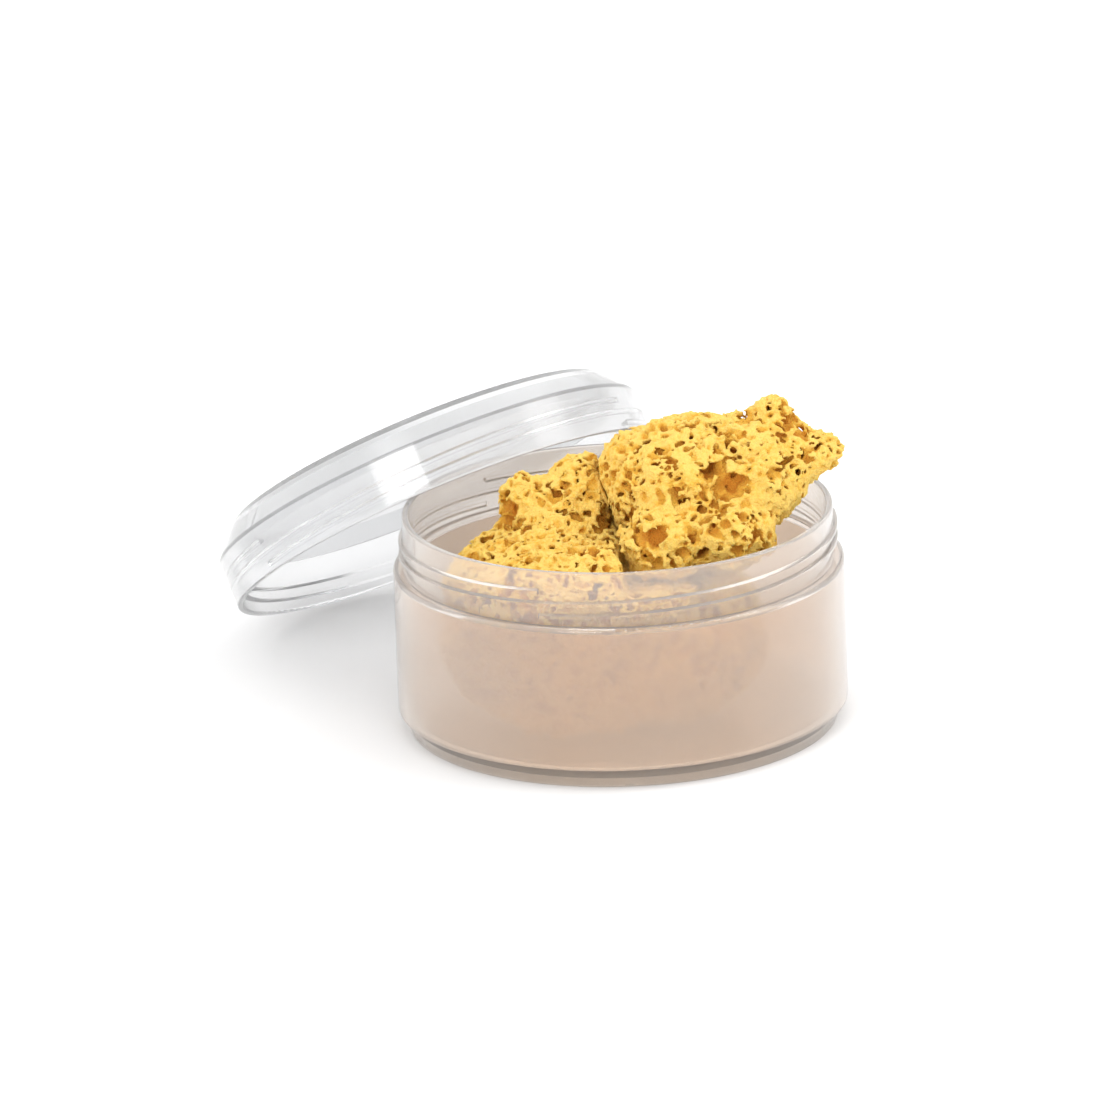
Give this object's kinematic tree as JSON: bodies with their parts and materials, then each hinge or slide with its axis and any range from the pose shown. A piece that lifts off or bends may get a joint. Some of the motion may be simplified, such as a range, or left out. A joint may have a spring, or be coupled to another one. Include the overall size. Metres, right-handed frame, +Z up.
{
  "type": "screw-top jar with sponge",
  "caption": "Low round screw-top jar in translucent plastic, lid leaning on its rim, holding a natural sponge in two pieces.",
  "frame": {"origin": "centre of the jar's foot ring, on the table", "axes": "+Z up along the jar's axis, -Y towards the front, +X to the right; the lid leans on the back-left of the rim"},
  "size_m": [0.1332, 0.1473, 0.0723],
  "materials": {
    "jar_plastic": "natural polypropylene, translucent, satin",
    "lid_plastic": "natural polypropylene, translucent, glossy",
    "sponge": "natural sea sponge, porous"
  },
  "bodies": {
    "jar": {"jar": "jar_plastic"},
    "lid": {"lid": "lid_plastic"},
    "lower_sponge": {"lower_sponge": "sponge"},
    "upper_sponge": {"upper_sponge": "sponge"}
  },
  "joints": [
    {"name": "lid_lift", "type": "slide", "parent": "jar", "child": "lid", "axis": [-0.3519, 0.4346, 0.829], "range_m": [0, 0.09]},
    {"name": "lower_sponge_lift", "type": "slide", "parent": "jar", "child": "lower_sponge", "axis": [0.2, -0.06, 0.978], "range_m": [0, 0.07]},
    {"name": "upper_sponge_lift", "type": "slide", "parent": "lower_sponge", "child": "upper_sponge", "axis": [0.2, -0.06, 0.978], "range_m": [0, 0.05]}
  ]
}
